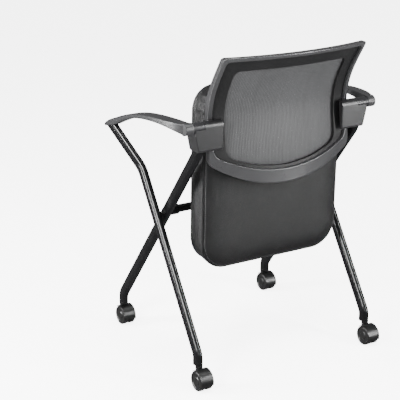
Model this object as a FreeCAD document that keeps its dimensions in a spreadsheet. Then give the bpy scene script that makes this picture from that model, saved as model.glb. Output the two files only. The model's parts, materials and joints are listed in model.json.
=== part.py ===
import FreeCAD, Part
import Sketcher
import math
import os

# Nesting chair. The chair faces -Y, +Z is up and X is across. The origin lies on the floor,
# midway between the front and rear legs. The seat is modelled flipped up, as it is stored.
# Left is the sitter's left, +X.

V = FreeCAD.Vector
doc = FreeCAD.newDocument("nesting_chair")
sheet = doc.addObject("Spreadsheet::Sheet", "Dims")

# Driving dimensions, in millimetres
DIMENSIONS = {
    # leg tubes, flat-oval
    "tube_depth": 32.0,
    "tube_width": 20.0,
    "tube_wall": 2.0,
    "inner_leg_x": 252.0,
    "outer_leg_x": 280.0,
    "leg_foot_y": 231.0,
    "leg_foot_z": 66.0,
    "knee_z": 91.0,
    "knee_bend": 40.0,
    "inner_head_y": 176.4,
    "inner_head_z": 636.0,
    "inner_top_z": 683.0,
    "elbow_y": -68.0,
    "elbow_z": 528.0,
    "elbow_bend": 110.0,
    "outer_top_x": 322.0,
    "outer_top_y": -160.0,
    "outer_top_z": 635.0,
    "spacer_radius": 10.0,
    # cross bar between the inner legs
    "bar_z": 428.0,
    "bar_radius": 11.0,
    "bar_wall": 2.0,
    "sleeve_radius": 14.5,
    "sleeve_length": 22.0,
    "bar_bolt_radius": 4.0,
    "bar_bolt_head": 7.0,
    "bar_bolt_head_height": 4.5,
    # seat hinge
    "hinge_x": 150.0,
    "hinge_reach": 41.5,
    "hinge_drop": 1.0,
    "ear_thickness": 6.0,
    "ear_radius": 12.0,
    "lug_thickness": 3.0,
    "lug_radius": 11.0,
    "hinge_side_gap": 0.5,
    "pin_radius": 4.0,
    "pin_head_radius": 6.5,
    "running_gap": 0.05,
    "rest_pad": 1.7,
    "contact_gap": 0.3,
    "bumper_radius": 6.0,
    "bumper_height": 5.7,
    # seat
    "seat_half_width": 224.0,
    "seat_rear_reach": 144.0,
    "seat_front_reach": 363.0,
    "seat_thickness": 72.0,
    "seat_crown": 15.0,
    "seat_rear_corner": 78.0,
    "seat_front_corner": 66.0,
    "cushion_lip": 2.0,
    "pan_inset": 18.0,
    "pan_thickness": 10.0,
    "pan_corner": 52.0,
    "pan_window_depth": 5.0,
    # back
    "back_half_width": 224.0,
    "back_top_z": 888.0,
    "back_sagitta": 31.0,
    "back_depth": 20.0,
    "rim_side": 12.0,
    "rim_top": 11.0,
    "back_corner_z": 594.0,
    "back_valley_z": 461.6,
    "back_corner_radius": 30.0,
    "back_valley_radius": 404.0,
    "band_corner_z": 616.5,
    "band_valley_z": 520.8,
    "band_corner_radius": 33.0,
    "band_valley_radius": 450.0,
    "rim_edge": 3.0,
    "window_edge": 2.0,
    "carrier_front": 1.6,
    "carrier_rear": 10.0,
    "carrier_side": 37.0,
    "carrier_top": 32.0,
    "mesh_corner_z": 610.0,
    "mesh_valley_z": 543.0,
    "mesh_corner_radius": 36.0,
    "mesh_valley_radius": 412.0,
    "mesh_top_radius": 16.0,
    "mesh_front": 0.2,
    "mesh_rear": 1.4,
    "fit_gap": 0.2,
    # brackets between legs, back and arms
    "barrel_y": 184.0,
    "barrel_z": 702.0,
    "barrel_radius": 14.5,
    "bracket_inner_x": 191.0,
    "barrel_outer_x": 245.0,
    "bracket_outer_x": 275.0,
    "bracket_bottom_z": 637.0,
    "bracket_front_y": 152.0,
    "bracket_edge": 2.5,
    "collar_outer_x": 280.0,
    "collar_radius": 14.2,
    # arms
    "arm_end_radius": 16.0,
    "arm_edge": 5.0,
    "leg_seat_z": 627.0,
    "leg_seat_rise": 15.0,
    "cap_radius": 9.0,
    # casters
    "wheel_radius": 27.5,
    "wheel_inner_x": 4.2,
    "wheel_outer_x": 18.7,
    "axle_radius": 4.0,
    "hood_radius": 30.0,
    "hood_cavity": 28.3,
    "hood_width": 38.0,
    "web_width": 7.0,
    "trail": 16.0,
    "stem_radius": 5.5,
    "stem_step": 26.0,
    "spigot_radius": 2.5,
    "stem_shift": 6.0,
    "boss_radius": 9.5,
    "boss_top": 30.5,
    "neck_bottom_z": 58.5,
    "plug_lip": 3.0,
    "plug_insert": 12.0,
}

# Side view of the back's front face at its edge: height and distance behind the origin
BACK_STATIONS = {
    "foot": (500.0, 174.0),
    "seat": (585.0, 167.5),
    "waist": (655.0, 160.0),
    "lumbar": (722.0, 153.5),
    "blade": (775.0, 164.5),
    "shoulder": (835.0, 194.5),
    "crown": (895.0, 231.0),
}

# Arm sections from tip to end: distance behind the origin, inner and outer reach,
# underside and top
ARM_STATIONS = {
    "tip": (-183.0, 311.0, 334.0, 626.5, 637.0),
    "seat": (-133.0, 310.5, 335.0, 641.0, 661.0),
    "rise": (-85.0, 309.5, 335.0, 663.5, 679.5),
    "bend": (-30.0, 300.0, 335.0, 684.0, 697.3),
    "rest": (40.0, 293.5, 333.0, 696.5, 710.5),
    "broad": (105.0, 288.5, 328.0, 699.5, 716.0),
    "heel": (150.0, 283.0, 319.0, 695.0, 717.3),
    "end": (184.0, 280.0, 303.0, 686.0, 718.0),
}


def fill_sheet():
    """Every driving dimension goes into the sheet under its own alias."""
    rows = dict(DIMENSIONS)
    for station, (height, setback) in BACK_STATIONS.items():
        rows["back_" + station + "_z"] = height
        rows["back_" + station + "_y"] = setback
    for station, values in ARM_STATIONS.items():
        for what, value in zip(("y", "in", "out", "low", "high"), values):
            rows["arm_" + station + "_" + what] = value
    for row, (alias, value) in enumerate(rows.items(), start=1):
        sheet.set("A%d" % row, alias)
        sheet.set("B%d" % row, "%.4f" % value)
        sheet.setAlias("B%d" % row, alias)
    doc.recompute()
    return rows


class Size:
    """A length that carries both its value and the sheet expression it comes from."""

    def __init__(self, value, text):
        self.value = value
        self.text = text

    def __float__(self):
        return self.value

    def __add__(self, other):
        return Size(self.value + float(other), "(%s + %s)" % (self.text, words(other)))

    def __radd__(self, other):
        return Size(float(other) + self.value, "(%s + %s)" % (words(other), self.text))

    def __sub__(self, other):
        return Size(self.value - float(other), "(%s - %s)" % (self.text, words(other)))

    def __rsub__(self, other):
        return Size(float(other) - self.value, "(%s - %s)" % (words(other), self.text))

    def __mul__(self, other):
        return Size(self.value * float(other), "(%s * %s)" % (self.text, words(other)))

    __rmul__ = __mul__

    def __truediv__(self, other):
        return Size(self.value / float(other), "(%s / %s)" % (self.text, words(other)))

    def __neg__(self):
        return self * -1


def words(value):
    """The expression text of a size or of a plain number."""
    if isinstance(value, Size):
        return value.text
    return "%.6f" % float(value)


def root(size):
    return Size(math.sqrt(size.value), "sqrt(%s)" % size.text)


class Dims:
    """Reads each alias of the sheet as a size."""

    def __init__(self, rows):
        for alias, value in rows.items():
            setattr(self, alias, Size(value, "Dims." + alias))


d = Dims(fill_sheet())
SIDES = {"left": 1, "right": -1}
FAR = 1200.0
pieces = []


# Document helpers

def bind(thing, path, size):
    """Ties a property to the sheet where the size comes from it."""
    if isinstance(size, Size):
        thing.setExpression(path, size.text)


def new_body(name):
    body = doc.addObject("PartDesign::Body", name)
    body.Label = name
    pieces.append(body)
    return body


def origin_plane(body, role):
    for feature in body.Origin.OriginFeatures:
        if feature.Role == role:
            return feature
    raise ValueError(role)


def new_sketch(body, name, role, offset=0.0):
    """An empty sketch parallel to one of the body's own planes."""
    sketch = body.newObject("Sketcher::SketchObject", name)
    sketch.AttachmentSupport = [(origin_plane(body, role), "")]
    sketch.MapMode = "FlatFace"
    sketch.AttachmentOffset = FreeCAD.Placement(V(0, 0, float(offset)), FreeCAD.Rotation())
    bind(sketch, "AttachmentOffset.Base.z", offset)
    return sketch


def on_side(body, name, x=0.0):
    """A sketch in the side view, Y across and Z up, at the given X."""
    return new_sketch(body, name, "YZ_Plane", x)


def on_front(body, name, y=0.0):
    """A sketch in the front view, X across and Z up, at the given Y."""
    return new_sketch(body, name, "XZ_Plane", -y)


def on_plan(body, name, z=0.0):
    """A sketch in plan, X across and Y up, at the given Z."""
    return new_sketch(body, name, "XY_Plane", z)


def dimension(sketch, kind, references, size):
    """A named sketch dimension, tied to the sheet where its size comes from it."""
    name = "size%d" % sketch.ConstraintCount
    index = sketch.addConstraint(Sketcher.Constraint(kind, *references, float(size)))
    sketch.renameConstraint(index, name)
    bind(sketch, "Constraints." + name, size)


def place(sketch, geometry, point, u, v):
    """Fixes one point of a sketch at the given coordinates."""
    for kind, size, axis in (("DistanceX", u, -2), ("DistanceY", v, -1)):
        if not isinstance(size, Size) and float(size) == 0.0:
            sketch.addConstraint(Sketcher.Constraint("PointOnObject", geometry, point, axis))
        else:
            dimension(sketch, kind, (-1, 1, geometry, point), size)


def circle(sketch, u, v, radius):
    shape = Part.Circle(V(float(u), float(v), 0), V(0, 0, 1), float(radius))
    index = sketch.addGeometry(shape, False)
    dimension(sketch, "Radius", (index,), radius)
    place(sketch, index, 3, u, v)


def corner_arc(before, corner, after, radius):
    """Tangent points and centre of the arc that rounds a corner."""
    a = (before - corner).normalize()
    b = (after - corner).normalize()
    half = math.acos(max(-1.0, min(1.0, a * b))) / 2
    reach = radius / math.tan(half)
    centre = corner + (a + b).normalize() * (radius / math.sin(half))
    return corner + a * reach, corner + b * reach, centre


def outline(sketch, corners, closed=True):
    """Straight sides between the corners; a corner's third value is its radius."""
    points = [V(float(c[0]), float(c[1]), 0) for c in corners]
    count = len(points)
    ends = []
    arcs = {}
    for i, corner in enumerate(corners):
        rounded = len(corner) > 2 and (closed or 0 < i < count - 1)
        if rounded:
            spot = corner_arc(points[i - 1], points[i], points[(i + 1) % count], float(corner[2]))
            arcs[i] = spot
            ends.append((spot[0], spot[1]))
        else:
            ends.append((points[i], points[i]))
    sides = count if closed else count - 1
    first = sketch.GeometryCount
    for i in range(sides):
        sketch.addGeometry(Part.LineSegment(ends[i][1], ends[(i + 1) % count][0]), False)
    for i, corner in enumerate(corners):
        before = first + (i - 1) % count
        after = first + i
        if i not in arcs:
            if closed or i > 0:
                place(sketch, before, 2, corner[0], corner[1])
            if not closed and i == 0:
                place(sketch, after, 1, corner[0], corner[1])
            if closed or 0 < i < count - 1:
                sketch.addConstraint(Sketcher.Constraint("Coincident", before, 2, after, 1))
            continue
        start, end, centre = arcs[i]
        turn = (start - centre).cross(end - centre).z
        low, high = (start, end) if turn > 0 else (end, start)
        angles = [math.atan2(p.y - centre.y, p.x - centre.x) for p in (low, high)]
        ring = Part.Circle(centre, V(0, 0, 1), float(corner[2]))
        arc = sketch.addGeometry(Part.ArcOfCircle(ring, angles[0], angles[1]), False)
        apex = sketch.addGeometry(Part.Point(points[i]), True)
        place(sketch, apex, 1, corner[0], corner[1])
        sketch.addConstraint(Sketcher.Constraint("PointOnObject", apex, 1, before))
        sketch.addConstraint(Sketcher.Constraint("PointOnObject", apex, 1, after))
        near, far = (1, 2) if turn > 0 else (2, 1)
        sketch.addConstraint(Sketcher.Constraint("Tangent", before, 2, arc, near))
        sketch.addConstraint(Sketcher.Constraint("Tangent", after, 1, arc, far))
        dimension(sketch, "Radius", (arc,), corner[2])


def box_outline(sketch, low_u, low_v, high_u, high_v, radius=None):
    corners = [(low_u, low_v), (high_u, low_v), (high_u, high_v), (low_u, high_v)]
    if radius is not None:
        corners = [(u, v, radius) for u, v in corners]
    outline(sketch, corners)


def obround(sketch, u, v, width, depth):
    """A flat-oval: half circles at both ends, longer along the second direction."""
    radius = width / 2
    half = (depth - width) / 2
    top = V(float(u), float(v + half), 0)
    low = V(float(u), float(v - half), 0)
    across = V(float(radius), 0, 0)
    first = sketch.GeometryCount
    upper = Part.Circle(top, V(0, 0, 1), float(radius))
    lower = Part.Circle(low, V(0, 0, 1), float(radius))
    sketch.addGeometry(Part.ArcOfCircle(upper, 0, math.pi), False)
    sketch.addGeometry(Part.ArcOfCircle(lower, math.pi, 2 * math.pi), False)
    sketch.addGeometry(Part.LineSegment(top - across, low - across), False)
    sketch.addGeometry(Part.LineSegment(low + across, top + across), False)
    joints = ((first, 2, first + 2, 1), (first + 2, 2, first + 1, 1),
              (first + 1, 2, first + 3, 1), (first + 3, 2, first, 1))
    for joint in joints:
        sketch.addConstraint(Sketcher.Constraint("Tangent", *joint))
    place(sketch, first, 3, u, v + half)
    place(sketch, first + 1, 3, u, v - half)
    dimension(sketch, "Radius", (first,), radius)


def pad(body, name, sketch, length, centred=True, backwards=False):
    feature = body.newObject("PartDesign::Pad", name)
    feature.Profile = sketch
    feature.SideType = "Symmetric" if centred else "One side"
    feature.Reversed = backwards
    feature.Length = float(length)
    bind(feature, "Length", length)
    return feature


def pocket(body, name, sketch, length=FAR):
    """Cuts the same distance to both sides of its sketch, length in all."""
    feature = body.newObject("PartDesign::Pocket", name)
    feature.Profile = sketch
    feature.SideType = "Symmetric"
    feature.Length = float(length)
    bind(feature, "Length", length)
    return feature


def turned(body, name, sketch, axis="H_Axis", kind="Revolution"):
    """A full turn of a profile about the sketch's own axis."""
    feature = body.newObject("PartDesign::" + kind, name)
    feature.Profile = sketch
    feature.ReferenceAxis = (sketch, [axis])
    feature.Angle = 360.0
    return feature


def lofted(body, name, sections, kind="AdditiveLoft"):
    feature = body.newObject("PartDesign::" + kind, name)
    feature.Profile = sections[0]
    feature.Sections = sections[1:]
    return feature


def piped(body, name, profile, spine, kind="AdditivePipe"):
    feature = body.newObject("PartDesign::" + kind, name)
    feature.Profile = profile
    feature.Spine = (spine, [])
    return feature


def chosen_edges(feature, wanted):
    return ["Edge%d" % (i + 1) for i, edge in enumerate(feature.Shape.Edges) if wanted(edge)]


def rounded(body, name, wanted, radius):
    """Rounds the edges of the body's last feature that the test picks."""
    doc.recompute()
    last = body.Tip
    feature = body.newObject("PartDesign::Fillet", name)
    feature.Base = (last, chosen_edges(last, wanted))
    feature.Radius = float(radius)
    bind(feature, "Radius", radius)
    return feature


def middle(edge):
    return edge.valueAt((edge.FirstParameter + edge.LastParameter) / 2)


# Places that several pieces share

leg_slope = (d.inner_head_y + d.leg_foot_y) / (d.inner_head_z - d.knee_z)
bar_y = (d.bar_z - d.knee_z) * leg_slope - d.leg_foot_y
outer_slope = (d.leg_foot_y - d.elbow_y) / (d.elbow_z - d.knee_z)
crossing_z = d.knee_z + d.leg_foot_y * 2 / (leg_slope + outer_slope)
crossing_y = (crossing_z - d.knee_z) * leg_slope - d.leg_foot_y
pivot_y = bar_y + d.hinge_reach
pivot_z = d.bar_z - d.hinge_drop
seat_lift = d.hinge_drop + d.bar_radius + d.rest_pad + d.contact_gap
underside_y = pivot_y + seat_lift
seam_y = underside_y + d.seat_thickness
seat_bottom_z = pivot_z - d.seat_rear_reach
seat_top_z = pivot_z + d.seat_front_reach
inner_leg_face = d.inner_leg_x - d.tube_width / 2
flange_low_z = pivot_z - 29
flange_high_z = pivot_z + 29
back_arc = (d.back_half_width * d.back_half_width + d.back_sagitta * d.back_sagitta) / (
    d.back_sagitta * 2)


# Back

def back_band(body, name, half_width, near, far, stations, kind="AdditiveLoft"):
    """A band of the back's doubly curved form, between two depths behind its front face."""
    edge_drop = back_arc - root(back_arc * back_arc - half_width * half_width)
    sections = []
    for station in stations:
        height = getattr(d, "back_" + station + "_z")
        setback = getattr(d, "back_" + station + "_y") + d.back_sagitta
        sketch = on_plan(body, name + "_" + station, height)
        front_edge = setback + near - edge_drop
        rear_edge = setback + far - edge_drop
        swing = math.asin(float(half_width) / float(back_arc))
        for depth in (near, far):
            centre = V(0, float(setback + depth - back_arc), 0)
            ring = Part.Circle(centre, V(0, 0, 1), float(back_arc))
            arc = Part.ArcOfCircle(ring, math.pi / 2 - swing, math.pi / 2 + swing)
            sketch.addGeometry(arc, False)
        wide = float(half_width)
        for edge in (wide, -wide):
            front = V(edge, float(front_edge), 0)
            rear = V(edge, float(rear_edge), 0)
            sketch.addGeometry(Part.LineSegment(front, rear), False)
        for line, reach in ((2, half_width), (3, -half_width)):
            place(sketch, line, 1, reach, front_edge)
            place(sketch, line, 2, reach, rear_edge)
        for arc in (0, 1):
            for end in (0, 1):
                meeting = (arc, end + 1, end + 2, arc + 1)
                sketch.addConstraint(Sketcher.Constraint("Coincident", *meeting))
            dimension(sketch, "Radius", (arc,), back_arc)
        sections.append(sketch)
    return lofted(body, name, sections, kind)


def shield(sketch, half_width, top, corner_z, valley_z, top_radius, corner_radius, valley_radius):
    """The back's outline seen from the front: flat top, full sides and a bowed lower edge."""
    outline(sketch, [
        (half_width, top, top_radius),
        (-half_width, top, top_radius),
        (-half_width, corner_z, corner_radius),
        (0.0, valley_z, valley_radius),
        (half_width, corner_z, corner_radius),
    ])


def trim_outside(body, name, *shape):
    """Cuts away all that lies outside a shield outline."""
    sketch = on_front(body, name + "_sketch")
    reach = d.back_half_width + 60
    box_outline(sketch, -reach, d.back_foot_z - 60, reach, d.back_crown_z + 60)
    shield(sketch, *shape)
    pocket(body, name, sketch)


def rim_opening(inset):
    """The rim's inner outline, drawn in by a clearance."""
    return (d.back_half_width - d.rim_side - inset, d.back_top_z - d.rim_top - inset,
            d.band_corner_z + inset, d.band_valley_z + inset * 1.1,
            8.0, d.band_corner_radius, d.band_valley_radius)


def inside_rim(edge):
    """An edge of the rim's opening, told from its outer edges by its place."""
    spot = middle(edge)
    side = abs(spot.x) < float(d.back_half_width - d.rim_side) + 0.5
    top = spot.z < float(d.back_top_z - d.rim_top) + 0.5
    valley = float(d.band_valley_radius)
    low_z = float(d.band_valley_z) + valley / math.cos(band_slope())
    return side and top and math.hypot(spot.x, spot.z - low_z) < valley + 4


def band_slope():
    rise = float(d.band_corner_z - d.band_valley_z)
    return math.atan2(rise, float(d.back_half_width - d.rim_side))


def bowed(edge):
    """An edge that follows the back's curved faces."""
    return edge.Curve.TypeId != "Part::GeomLine"


def back_frame():
    body = new_body("back_frame")
    back_band(body, "slab", d.back_half_width + 6, 0.0, d.back_depth, BACK_STATIONS)
    trim_outside(body, "rim_outside", d.back_half_width, d.back_top_z, d.back_corner_z,
                 d.back_valley_z, 9.0, d.back_corner_radius, d.back_valley_radius)
    rounded(body, "rim_edges", bowed, d.rim_edge)
    window = on_front(body, "rim_window_sketch")
    shield(window, *rim_opening(0.0))
    pocket(body, "rim_window", window)
    rounded(body, "window_edges",
            lambda edge: bowed(edge) and inside_rim(edge), d.window_edge)


def mesh_carrier():
    body = new_body("mesh_carrier")
    back_band(body, "slab", d.back_half_width, d.carrier_front, d.carrier_rear, BACK_STATIONS)
    trim_outside(body, "carrier_outside", *rim_opening(d.fit_gap))
    window = on_front(body, "carrier_window_sketch")
    half_width = d.back_half_width - d.rim_side - d.carrier_side
    shield(window, half_width, d.back_top_z - d.rim_top - d.carrier_top, d.mesh_corner_z,
           d.mesh_valley_z, d.mesh_top_radius, d.mesh_corner_radius, d.mesh_valley_radius)
    pocket(body, "carrier_window", window)


def back_mesh():
    body = new_body("back_mesh")
    back_band(body, "sheet", d.back_half_width, d.mesh_front, d.mesh_rear, BACK_STATIONS)
    trim_outside(body, "mesh_outside", *rim_opening(4.0))


# Legs

def inner_leg_route(body, name, side, low):
    """Centre line of the leg that runs from the front caster up to the back."""
    route = on_side(body, name, d.inner_leg_x * side)
    outline(route, [
        (-d.leg_foot_y, low),
        (-d.leg_foot_y, d.knee_z, d.knee_bend),
        (d.inner_head_y, d.inner_head_z, d.knee_bend),
        (d.inner_head_y, d.inner_top_z),
    ], closed=False)
    return route


def inner_leg(name, side):
    body = new_body(name)
    route = inner_leg_route(body, "route", side, d.leg_foot_z)
    outside = on_plan(body, "outside", d.leg_foot_z)
    obround(outside, d.inner_leg_x * side, -d.leg_foot_y, d.tube_width, d.tube_depth)
    piped(body, "tube", outside, route)
    bore = on_plan(body, "bore", d.leg_foot_z)
    obround(bore, d.inner_leg_x * side, -d.leg_foot_y, d.tube_width - d.tube_wall * 2,
            d.tube_depth - d.tube_wall * 2)
    piped(body, "hollow", bore, route, "SubtractivePipe")
    hole = on_side(body, "bolt_hole_sketch", d.inner_leg_x * side)
    circle(hole, bar_y, d.bar_z, d.bar_bolt_radius + d.running_gap)
    pocket(body, "bolt_hole", hole, d.tube_width + 4)


def bent_path(points, bend):
    """Straight runs joined by tangent arcs."""
    edges = []
    here = points[0]
    for before, corner, after in zip(points, points[1:], points[2:]):
        start, end, centre = corner_arc(before, corner, after, bend[len(edges) // 2])
        crest = centre + (corner - centre).normalize() * (start - centre).Length
        edges.append(Part.LineSegment(here, start).toShape())
        edges.append(Part.Arc(start, crest, end).toShape())
        here = end
    edges.append(Part.LineSegment(here, points[-1]).toShape())
    return Part.Wire(edges)


def flat_oval(centre, width, depth):
    """A closed flat-oval wire in plan."""
    radius = width / 2
    half = (depth - width) / 2
    marks = [centre + V(radius, half, 0), centre + V(0, half + radius, 0),
             centre + V(-radius, half, 0), centre + V(-radius, -half, 0),
             centre + V(0, -half - radius, 0), centre + V(radius, -half, 0)]
    return Part.Wire([
        Part.Arc(marks[0], marks[1], marks[2]).toShape(),
        Part.LineSegment(marks[2], marks[3]).toShape(),
        Part.Arc(marks[3], marks[4], marks[5]).toShape(),
        Part.LineSegment(marks[5], marks[0]).toShape(),
    ])


def outer_leg(name, side):
    """The leg from the rear caster up to the arm; its head also flares outwards."""
    x = float(d.outer_leg_x) * side
    foot = V(x, float(d.leg_foot_y), float(d.leg_foot_z))
    knee = V(x, float(d.leg_foot_y), float(d.knee_z))
    elbow = V(x, float(d.elbow_y), float(d.elbow_z))
    head = V(float(d.outer_top_x) * side, float(d.outer_top_y), float(d.outer_top_z))
    beyond = head + (head - elbow).normalize() * 30
    path = bent_path([foot, knee, elbow, beyond], [float(d.knee_bend), float(d.elbow_bend)])
    width, depth, wall = float(d.tube_width), float(d.tube_depth), float(d.tube_wall)
    solids = []
    for inset in (0.0, wall):
        wire = flat_oval(foot, width - inset * 2, depth - inset * 2)
        solids.append(path.makePipeShell([wire], True, False))
    tube = solids[0].cut(solids[1])
    seat_line = V(0, float(d.arm_tip_y), float(d.leg_seat_z))
    seat_line_end = V(0, float(d.arm_seat_y), float(d.leg_seat_z + d.leg_seat_rise))
    along = (seat_line_end - seat_line).normalize()
    start = seat_line - along * 60
    end = seat_line_end + along * 60
    rise = V(0, 0, 90)
    above = Part.Face(Part.makePolygon([start, end, end + rise, start + rise, start]))
    above.translate(V(-FAR / 2, 0, 0))
    shape = tube.cut(above.extrude(V(FAR, 0, 0)))
    feature = doc.addObject("Part::Feature", name)
    feature.Shape = shape
    feature.Placement = FreeCAD.Placement()
    feature.Label = name
    pieces.append(feature)


def leg_spacer(name, side):
    body = new_body(name)
    gap = d.outer_leg_x - d.inner_leg_x - d.tube_width
    disc = on_side(body, "disc_sketch", (d.inner_leg_x + d.outer_leg_x) / 2 * side)
    circle(disc, crossing_y, crossing_z, d.spacer_radius)
    pad(body, "disc", disc, gap)


# Cross bar

def cross_bar():
    body = new_body("cross_bar")
    ring = on_side(body, "bar_sketch")
    circle(ring, bar_y, d.bar_z, d.bar_radius)
    circle(ring, bar_y, d.bar_z, d.bar_radius - d.bar_wall)
    pad(body, "bar", ring, inner_leg_face * 2)


def bar_sleeve(name, side):
    """The rounded end fitting that carries the bar on the leg."""
    body = new_body(name)
    centre = (inner_leg_face - d.sleeve_length / 2) * side
    ring = on_side(body, "sleeve_sketch", centre)
    circle(ring, bar_y, d.bar_z, d.sleeve_radius)
    circle(ring, bar_y, d.bar_z, d.bar_radius + d.running_gap)
    pad(body, "sleeve", ring, d.sleeve_length)
    inner_end = (inner_leg_face - d.sleeve_length) * side

    def outer_rim(edge):
        spot = middle(edge)
        reach = math.hypot(spot.y - float(bar_y), spot.z - float(d.bar_z))
        return abs(spot.x - float(inner_end)) < 0.01 and reach > float(d.sleeve_radius) - 0.1

    rounded(body, "sleeve_edge", outer_rim, 2.5)


def bar_insert(name, side):
    """Threaded plug inside the end of the bar, which the bolt screws into."""
    body = new_body(name)
    length = d.sleeve_length
    ring = on_side(body, "insert_sketch", (inner_leg_face - length / 2) * side)
    circle(ring, bar_y, d.bar_z, d.bar_radius - d.bar_wall - d.running_gap)
    circle(ring, bar_y, d.bar_z, d.bar_bolt_radius + d.running_gap)
    pad(body, "insert", ring, length)


def bar_bolts():
    body = new_body("bar_bolts")
    outer_face = d.inner_leg_x + d.tube_width / 2
    for label, side in SIDES.items():
        shank = on_side(body, label + "_shank_sketch", (outer_face - 18) * side)
        circle(shank, bar_y, d.bar_z, d.bar_bolt_radius)
        pad(body, label + "_shank", shank, 36.0)
        head = on_side(body, label + "_head_sketch",
                       (outer_face + d.bar_bolt_head_height / 2) * side)
        circle(head, bar_y, d.bar_z, d.bar_bolt_head)
        pad(body, label + "_head", head, d.bar_bolt_head_height)
        socket = on_side(body, label + "_socket_sketch",
                         (outer_face + d.bar_bolt_head_height) * side)
        hexagon(socket, bar_y, d.bar_z, 2.9)
        pocket(body, label + "_socket", socket, 5.0)


def hexagon(sketch, u, v, radius):
    corners = []
    for i in range(6):
        angle = math.radians(60 * i)
        corners.append((u + radius * math.cos(angle), v + radius * math.sin(angle)))
    outline(sketch, corners)


# Seat hinge

def hinge_ear(name, side):
    """Plate welded to the cross bar: hinge eye at its rear, stop face at its foot."""
    body = new_body(name)
    x = d.hinge_x * side
    stop_y = underside_y - d.contact_gap - d.bumper_height
    plate = on_side(body, "plate_sketch", x)
    outline(plate, [
        (bar_y - 3, d.bar_z - 15),
        (stop_y - 15, pivot_z - 44, 4.0),
        (stop_y, pivot_z - 44, 1.5),
        (stop_y, pivot_z - 25, 3.0),
        (pivot_y + 10, pivot_z - 9, 3.0),
        (pivot_y, pivot_z),
        (pivot_y - 1, pivot_z + 11.7),
        (bar_y + 4, d.bar_z + d.bar_radius - 1.2),
        (bar_y - 3, d.bar_z),
    ])
    pad(body, "plate", plate, d.ear_thickness)
    eye = on_side(body, "eye_sketch", x)
    circle(eye, pivot_y, pivot_z, d.ear_radius)
    pad(body, "eye", eye, d.ear_thickness)
    tab = on_front(body, "tab_sketch", stop_y - 1.5)
    box_outline(tab, x - 11, pivot_z - 44, x + 11, pivot_z - 26, 3.0)
    pad(body, "tab", tab, 3.0)
    saddle = on_side(body, "saddle_sketch", x)
    circle(saddle, bar_y, d.bar_z, d.bar_radius + d.running_gap)
    pocket(body, "saddle", saddle, d.ear_thickness * 6)
    hole = on_side(body, "pin_hole_sketch", x)
    circle(hole, pivot_y, pivot_z, d.pin_radius + d.running_gap)
    pocket(body, "pin_hole", hole, d.ear_thickness * 2)


def pan_hinge(name, side):
    """Flange let into the pan, with two lugs that straddle the ear."""
    body = new_body(name)
    x = d.hinge_x * side
    flange = on_front(body, "flange_sketch", underside_y + d.lug_thickness / 2)
    box_outline(flange, x - 30, flange_low_z, x + 30, flange_high_z, 6.0)
    pad(body, "flange", flange, d.lug_thickness)
    offset = d.ear_thickness / 2 + d.hinge_side_gap + d.lug_thickness / 2
    for label, way in (("near", -1), ("far", 1)):
        lug = on_side(body, label + "_lug_sketch", x + offset * way)
        outline(lug, [
            (underside_y + 1, pivot_z - 24),
            (underside_y + 1, pivot_z + 24),
            (underside_y - 1, pivot_z + 24),
            (pivot_y - 4, pivot_z + 10.2),
            (pivot_y - 4, pivot_z - 10.2),
            (underside_y - 1, pivot_z - 24),
        ])
        pad(body, label + "_lug", lug, d.lug_thickness)
        eye = on_side(body, label + "_eye_sketch", x + offset * way)
        circle(eye, pivot_y, pivot_z, d.lug_radius)
        pad(body, label + "_eye", eye, d.lug_thickness)
    hole = on_side(body, "pin_hole_sketch", x)
    circle(hole, pivot_y, pivot_z, d.pin_radius + d.running_gap)
    pocket(body, "pin_hole", hole, 40.0)
    screw_holes = on_front(body, "screw_holes_sketch", underside_y)
    for across, up in flange_screws():
        circle(screw_holes, x + across, pivot_z + up, 2.6)
    pocket(body, "screw_holes", screw_holes, d.lug_thickness * 4)


def flange_screws():
    """Screw places on a hinge flange, measured from the pivot."""
    return [(across, up) for across in (-21, 21) for up in (-20, 20)]


def hinge_pin(name, side):
    body = new_body(name)
    x = d.hinge_x * side
    half = d.ear_thickness / 2 + d.hinge_side_gap + d.lug_thickness
    shaft = on_side(body, "shaft_sketch", x)
    circle(shaft, pivot_y, pivot_z, d.pin_radius)
    pad(body, "shaft", shaft, half * 2 + 5)
    head = on_side(body, "head_sketch", x + (half + 1.3) * side)
    circle(head, pivot_y, pivot_z, d.pin_head_radius)
    pad(body, "head", head, 2.4)


def pin_clips():
    """Retaining rings on the inner ends of the two hinge pins."""
    body = new_body("pin_clips")
    half = d.ear_thickness / 2 + d.hinge_side_gap + d.lug_thickness
    for label, side in SIDES.items():
        ring = on_side(body, label + "_ring_sketch", (d.hinge_x - half - 0.8) * side)
        circle(ring, pivot_y, pivot_z, d.pin_head_radius)
        circle(ring, pivot_y, pivot_z, d.pin_radius + d.running_gap)
        pad(body, label + "_ring", ring, 1.2)


def stop_bumpers():
    body = new_body("stop_bumpers")
    stop_y = underside_y - d.contact_gap - d.bumper_height
    for label, side in SIDES.items():
        foot = on_front(body, label + "_sketch", stop_y + d.bumper_height / 2)
        circle(foot, d.hinge_x * side, pivot_z - 35, d.bumper_radius)
        pad(body, label + "_bumper", foot, d.bumper_height)


def rest_pads():
    """Soft discs under the pan that come down on the cross bar."""
    body = new_body("rest_pads")
    for label, side in SIDES.items():
        disc = on_front(body, label + "_sketch", underside_y - d.rest_pad / 2)
        circle(disc, 90.0 * side, pivot_z + d.hinge_reach, 8.0)
        pad(body, label + "_pad", disc, d.rest_pad)


# Seat

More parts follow.
